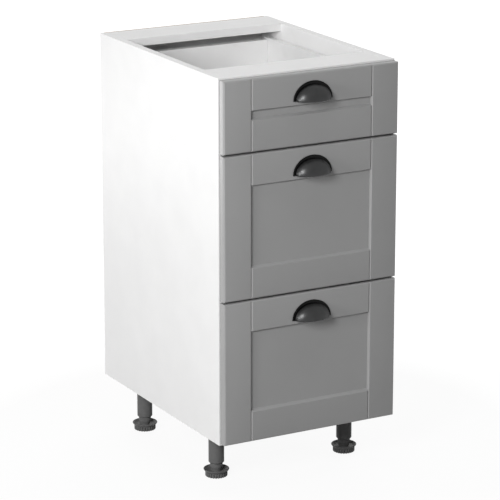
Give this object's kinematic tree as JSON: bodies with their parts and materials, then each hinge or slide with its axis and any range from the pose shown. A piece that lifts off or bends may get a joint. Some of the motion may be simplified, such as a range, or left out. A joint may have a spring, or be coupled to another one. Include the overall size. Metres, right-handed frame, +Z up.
{
  "type": "base cabinet with drawers",
  "caption": "Kitchen base cabinet with framed fronts, cup handles, steel-sided roller drawers, an open top between two rails, and height-adjustable legs.",
  "frame": {"origin": "on the floor, under the middle of the whole cabinet with its handles", "axes": "+Z up from the floor, +X to the right as seen from the front, +Y towards the wall, so the fronts face -Y"},
  "size_m": [0.384, 0.544, 0.82],
  "materials": {
    "white_board": "smooth white melamine-faced chipboard",
    "hardboard": "thin hardboard, white inside and natural brown outside",
    "grey_lacquer": "satin grey lacquer on fibreboard",
    "gunmetal": "dark satin gunmetal plating",
    "black_plastic": "black moulded plastic with a soft sheen",
    "white_steel": "white powder-coated sheet steel",
    "nylon": "off-white nylon",
    "zinc_steel": "bright zinc-plated steel"
  },
  "bodies": {
    "carcass": {"side_panel_left": "white_board", "side_panel_right": "white_board", "bottom_panel": "white_board", "front_top_rail": "white_board", "rear_top_rail": "white_board", "back_panel": "hardboard", "leg_socket_front_left": "black_plastic", "leg_socket_front_right": "black_plastic", "leg_socket_rear_left": "black_plastic", "leg_socket_rear_right": "black_plastic", "leg_tube_front_left": "black_plastic", "leg_tube_front_right": "black_plastic", "leg_tube_rear_left": "black_plastic", "leg_tube_rear_right": "black_plastic", "bottom_runner_left": "white_steel", "bottom_runner_right": "white_steel", "middle_runner_left": "white_steel", "middle_runner_right": "white_steel", "top_runner_left": "white_steel", "top_runner_right": "white_steel"},
    "bottom_drawer": {"bottom_drawer_front": "grey_lacquer", "bottom_drawer_handle": "gunmetal", "bottom_drawer_screw_left": "zinc_steel", "bottom_drawer_screw_right": "zinc_steel", "bottom_drawer_side_left": "white_steel", "bottom_drawer_side_right": "white_steel", "bottom_drawer_base": "white_board", "bottom_drawer_back": "white_board"},
    "middle_drawer": {"middle_drawer_front": "grey_lacquer", "middle_drawer_handle": "gunmetal", "middle_drawer_screw_left": "zinc_steel", "middle_drawer_screw_right": "zinc_steel", "middle_drawer_side_left": "white_steel", "middle_drawer_side_right": "white_steel", "middle_drawer_base": "white_board", "middle_drawer_back": "white_board"},
    "top_drawer": {"top_drawer_front": "grey_lacquer", "top_drawer_handle": "gunmetal", "top_drawer_screw_left": "zinc_steel", "top_drawer_screw_right": "zinc_steel", "top_drawer_side_left": "white_steel", "top_drawer_side_right": "white_steel", "top_drawer_base": "white_board", "top_drawer_back": "white_board"},
    "bottom_runner_roller_left": {"bottom_runner_roller_left": "nylon"},
    "bottom_drawer_roller_left": {"bottom_drawer_roller_left": "nylon"},
    "bottom_runner_roller_right": {"bottom_runner_roller_right": "nylon"},
    "bottom_drawer_roller_right": {"bottom_drawer_roller_right": "nylon"},
    "middle_runner_roller_left": {"middle_runner_roller_left": "nylon"},
    "middle_drawer_roller_left": {"middle_drawer_roller_left": "nylon"},
    "middle_runner_roller_right": {"middle_runner_roller_right": "nylon"},
    "middle_drawer_roller_right": {"middle_drawer_roller_right": "nylon"},
    "top_runner_roller_left": {"top_runner_roller_left": "nylon"},
    "top_drawer_roller_left": {"top_drawer_roller_left": "nylon"},
    "top_runner_roller_right": {"top_runner_roller_right": "nylon"},
    "top_drawer_roller_right": {"top_drawer_roller_right": "nylon"},
    "leg_foot_front_left": {"leg_foot_front_left": "black_plastic"},
    "leg_foot_front_right": {"leg_foot_front_right": "black_plastic"},
    "leg_foot_rear_left": {"leg_foot_rear_left": "black_plastic"},
    "leg_foot_rear_right": {"leg_foot_rear_right": "black_plastic"}
  },
  "joints": [
    {"name": "bottom_drawer_slide", "type": "slide", "parent": "carcass", "child": "bottom_drawer", "axis": [0, -1, 0], "range_m": [0, 0.35]},
    {"name": "middle_drawer_slide", "type": "slide", "parent": "carcass", "child": "middle_drawer", "axis": [0, -1, 0], "range_m": [0, 0.35]},
    {"name": "top_drawer_slide", "type": "slide", "parent": "carcass", "child": "top_drawer", "axis": [0, -1, 0], "range_m": [0, 0.35]},
    {"name": "bottom_runner_roller_left_spin", "type": "hinge", "parent": "carcass", "child": "bottom_runner_roller_left", "pos_m": [-0.1704, -0.21405, 0.1412], "axis": [1, 0, 0], "range_deg": [-6, 2513]},
    {"name": "bottom_drawer_roller_left_spin", "type": "hinge", "parent": "bottom_drawer", "child": "bottom_drawer_roller_left", "pos_m": [-0.1653, 0.20825, 0.139], "axis": [1, 0, 0], "range_deg": [-6, 2513]},
    {"name": "bottom_runner_roller_right_spin", "type": "hinge", "parent": "carcass", "child": "bottom_runner_roller_right", "pos_m": [0.1704, -0.21405, 0.1412], "axis": [1, 0, 0], "range_deg": [-6, 2513]},
    {"name": "bottom_drawer_roller_right_spin", "type": "hinge", "parent": "bottom_drawer", "child": "bottom_drawer_roller_right", "pos_m": [0.1653, 0.20825, 0.139], "axis": [1, 0, 0], "range_deg": [-6, 2513]},
    {"name": "middle_runner_roller_left_spin", "type": "hinge", "parent": "carcass", "child": "middle_runner_roller_left", "pos_m": [-0.1704, -0.21405, 0.4277], "axis": [1, 0, 0], "range_deg": [-6, 2513]},
    {"name": "middle_drawer_roller_left_spin", "type": "hinge", "parent": "middle_drawer", "child": "middle_drawer_roller_left", "pos_m": [-0.1653, 0.20825, 0.4255], "axis": [1, 0, 0], "range_deg": [-6, 2513]},
    {"name": "middle_runner_roller_right_spin", "type": "hinge", "parent": "carcass", "child": "middle_runner_roller_right", "pos_m": [0.1704, -0.21405, 0.4277], "axis": [1, 0, 0], "range_deg": [-6, 2513]},
    {"name": "middle_drawer_roller_right_spin", "type": "hinge", "parent": "middle_drawer", "child": "middle_drawer_roller_right", "pos_m": [0.1653, 0.20825, 0.4255], "axis": [1, 0, 0], "range_deg": [-6, 2513]},
    {"name": "top_runner_roller_left_spin", "type": "hinge", "parent": "carcass", "child": "top_runner_roller_left", "pos_m": [-0.1704, -0.21405, 0.7142], "axis": [1, 0, 0], "range_deg": [-6, 2513]},
    {"name": "top_drawer_roller_left_spin", "type": "hinge", "parent": "top_drawer", "child": "top_drawer_roller_left", "pos_m": [-0.1653, 0.20825, 0.712], "axis": [1, 0, 0], "range_deg": [-6, 2513]},
    {"name": "top_runner_roller_right_spin", "type": "hinge", "parent": "carcass", "child": "top_runner_roller_right", "pos_m": [0.1704, -0.21405, 0.7142], "axis": [1, 0, 0], "range_deg": [-6, 2513]},
    {"name": "top_drawer_roller_right_spin", "type": "hinge", "parent": "top_drawer", "child": "top_drawer_roller_right", "pos_m": [0.1653, 0.20825, 0.712], "axis": [1, 0, 0], "range_deg": [-6, 2513]},
    {"name": "front_left_foot_adjust", "type": "slide", "parent": "carcass", "child": "leg_foot_front_left", "axis": [0, 0, -1], "range_m": [-0.012, 0.02]},
    {"name": "front_right_foot_adjust", "type": "slide", "parent": "carcass", "child": "leg_foot_front_right", "axis": [0, 0, -1], "range_m": [-0.012, 0.02]},
    {"name": "rear_left_foot_adjust", "type": "slide", "parent": "carcass", "child": "leg_foot_rear_left", "axis": [0, 0, -1], "range_m": [-0.012, 0.02]},
    {"name": "rear_right_foot_adjust", "type": "slide", "parent": "carcass", "child": "leg_foot_rear_right", "axis": [0, 0, -1], "range_m": [-0.012, 0.02]}
  ],
  "couplings": [
    {"joint": "bottom_runner_roller_left_spin", "follows": "bottom_drawer_slide", "rad_per_m": 125},
    {"joint": "bottom_drawer_roller_left_spin", "follows": "bottom_drawer_slide", "rad_per_m": 125},
    {"joint": "bottom_runner_roller_right_spin", "follows": "bottom_drawer_slide", "rad_per_m": 125},
    {"joint": "bottom_drawer_roller_right_spin", "follows": "bottom_drawer_slide", "rad_per_m": 125},
    {"joint": "middle_runner_roller_left_spin", "follows": "middle_drawer_slide", "rad_per_m": 125},
    {"joint": "middle_drawer_roller_left_spin", "follows": "middle_drawer_slide", "rad_per_m": 125},
    {"joint": "middle_runner_roller_right_spin", "follows": "middle_drawer_slide", "rad_per_m": 125},
    {"joint": "middle_drawer_roller_right_spin", "follows": "middle_drawer_slide", "rad_per_m": 125},
    {"joint": "top_runner_roller_left_spin", "follows": "top_drawer_slide", "rad_per_m": 125},
    {"joint": "top_drawer_roller_left_spin", "follows": "top_drawer_slide", "rad_per_m": 125},
    {"joint": "top_runner_roller_right_spin", "follows": "top_drawer_slide", "rad_per_m": 125},
    {"joint": "top_drawer_roller_right_spin", "follows": "top_drawer_slide", "rad_per_m": 125}
  ]
}
